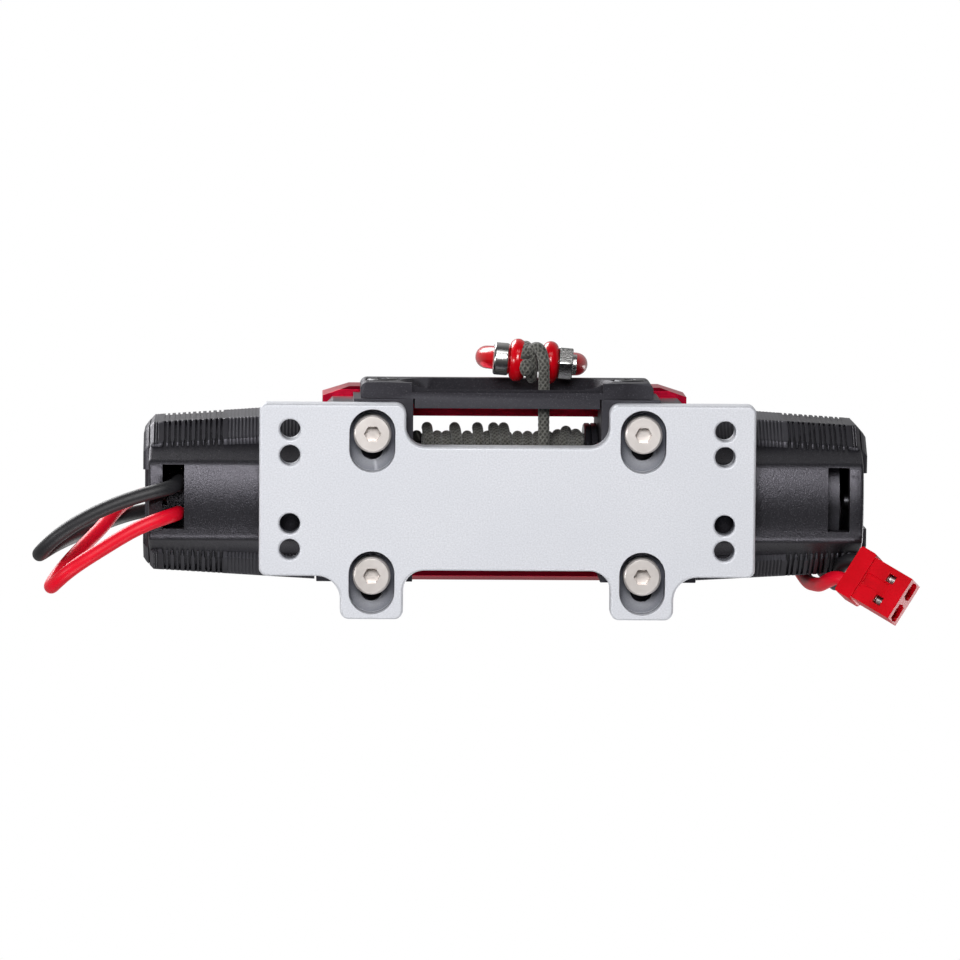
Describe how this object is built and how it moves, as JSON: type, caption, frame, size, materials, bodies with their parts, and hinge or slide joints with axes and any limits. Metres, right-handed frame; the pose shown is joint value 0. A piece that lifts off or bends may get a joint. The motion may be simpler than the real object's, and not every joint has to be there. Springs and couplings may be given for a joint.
{
  "type": "model crawler winch",
  "caption": "Small electric winch with a motor and gearbox end to end through its drum, a slotted mounting plate, a rope with shackle, and a plug lead.",
  "frame": {"origin": "middle of the mounting plate's flat underside, straight below the drum axis", "axes": "+X along the drum towards the gearbox end, -Y the way the rope leaves, +Z from the mounting face up to the drum"},
  "size_m": [0.09, 0.0286, 0.0248],
  "materials": {
    "plate_aluminium": "bead-blasted clear anodised",
    "stainless": "turned stainless",
    "black_anodised": "black anodised",
    "bronze": "sintered bronze",
    "black_blasted": "blasted, black anodised",
    "black_steel": "black oxide",
    "red_anodised": "red anodised",
    "black_gloss": "polished, black anodised",
    "rope": "braided grey-green cord",
    "gear_steel": "machined",
    "black_satin": "satin black",
    "black_armour": "satin black",
    "motor_steel": "plated",
    "ferrite": "sintered ferrite",
    "nylon": "moulded",
    "red_coating": "dipped, glossy",
    "bright_steel": "bright plated",
    "black_silicone": "matte",
    "red_silicone": "matte",
    "red_nylon": "moulded"
  },
  "bodies": {
    "plate": {"mount_plate": "plate_aluminium"},
    "winch": {"mount_screws": "stainless", "left_cheek": "black_anodised", "right_cheek": "black_anodised", "left_bush": "bronze", "right_bush": "bronze", "fairlead": "black_blasted", "fairlead_screws": "black_steel", "upper_frame": "red_anodised", "frame_screws": "black_steel", "ring_gear": "gear_steel", "gear_cap": "black_satin", "gearbox_housing": "black_satin", "motor_housing": "black_satin", "left_armour": "black_armour", "right_armour": "black_armour", "end_screws": "black_steel", "motor_can": "motor_steel", "motor_magnets": "ferrite", "motor_end_bell": "nylon", "motor_terminals": "bronze", "black_lead": "black_silicone", "red_lead": "red_silicone", "plug_housing": "red_nylon", "plug_contacts": "bright_steel"},
    "drum_set": {"drum": "black_gloss", "rope_coil": "rope", "carrier_2": "gear_steel", "planet_pins_2": "gear_steel"},
    "stage_1_carrier": {"carrier_1": "gear_steel", "planet_pins_1": "gear_steel"},
    "drive_line": {"drive_shaft": "gear_steel", "shaft_coupler": "gear_steel", "motor_rotor": "motor_steel"},
    "cord": {"rope_end": "rope"},
    "shackle": {"shackle_bow": "red_coating", "shackle_bolt": "bright_steel", "shackle_nut": "bright_steel"},
    "planet_1a": {"planet_1a": "gear_steel"},
    "planet_1b": {"planet_1b": "gear_steel"},
    "planet_1c": {"planet_1c": "gear_steel"},
    "planet_2a": {"planet_2a": "gear_steel"},
    "planet_2b": {"planet_2b": "gear_steel"},
    "planet_2c": {"planet_2c": "gear_steel"}
  },
  "joints": [
    {"name": "slot_adjust", "type": "slide", "parent": "plate", "child": "winch", "axis": [0, 1, 0], "range_m": [-0.00018, 0.00156]},
    {"name": "drum_spin", "type": "hinge", "parent": "winch", "child": "drum_set", "pos_m": [0, 0, 0.012], "axis": [1, 0, 0], "continuous": true},
    {"name": "stage_1_spin", "type": "hinge", "parent": "winch", "child": "stage_1_carrier", "pos_m": [0.0276, 0, 0.012], "axis": [1, 0, 0], "continuous": true},
    {"name": "motor_spin", "type": "hinge", "parent": "winch", "child": "drive_line", "pos_m": [-0.02, 0, 0.012], "axis": [1, 0, 0], "continuous": true},
    {"name": "rope_payout", "type": "slide", "parent": "winch", "child": "cord", "axis": [0, -1, 0], "range_m": [0, 0.012]},
    {"name": "shackle_swing", "type": "hinge", "parent": "cord", "child": "shackle", "pos_m": [0.00278, -0.014, 0.008], "axis": [0.9973, 0.0732, 0], "range_deg": [-3, 100]},
    {"name": "planet_1a_spin", "type": "hinge", "parent": "stage_1_carrier", "child": "planet_1a", "pos_m": [0.029, 0, 0.0156], "axis": [1, 0, 0], "continuous": true},
    {"name": "planet_1b_spin", "type": "hinge", "parent": "stage_1_carrier", "child": "planet_1b", "pos_m": [0.029, -0.00312, 0.0102], "axis": [1, 0, 0], "continuous": true},
    {"name": "planet_1c_spin", "type": "hinge", "parent": "stage_1_carrier", "child": "planet_1c", "pos_m": [0.029, 0.00312, 0.0102], "axis": [1, 0, 0], "continuous": true},
    {"name": "planet_2a_spin", "type": "hinge", "parent": "drum_set", "child": "planet_2a", "pos_m": [0.0242, 0, 0.0156], "axis": [1, 0, 0], "continuous": true},
    {"name": "planet_2b_spin", "type": "hinge", "parent": "drum_set", "child": "planet_2b", "pos_m": [0.0242, -0.00312, 0.0102], "axis": [1, 0, 0], "continuous": true},
    {"name": "planet_2c_spin", "type": "hinge", "parent": "drum_set", "child": "planet_2c", "pos_m": [0.0242, 0.00312, 0.0102], "axis": [1, 0, 0], "continuous": true}
  ],
  "couplings": [
    {"joint": "stage_1_spin", "follows": "motor_spin", "ratio": 0.25},
    {"joint": "drum_spin", "follows": "motor_spin", "ratio": 0.0625},
    {"joint": "planet_1a_spin", "follows": "motor_spin", "ratio": -0.75},
    {"joint": "planet_1b_spin", "follows": "motor_spin", "ratio": -0.75},
    {"joint": "planet_1c_spin", "follows": "motor_spin", "ratio": -0.75},
    {"joint": "planet_2a_spin", "follows": "motor_spin", "ratio": -0.1875},
    {"joint": "planet_2b_spin", "follows": "motor_spin", "ratio": -0.1875},
    {"joint": "planet_2c_spin", "follows": "motor_spin", "ratio": -0.1875}
  ]
}
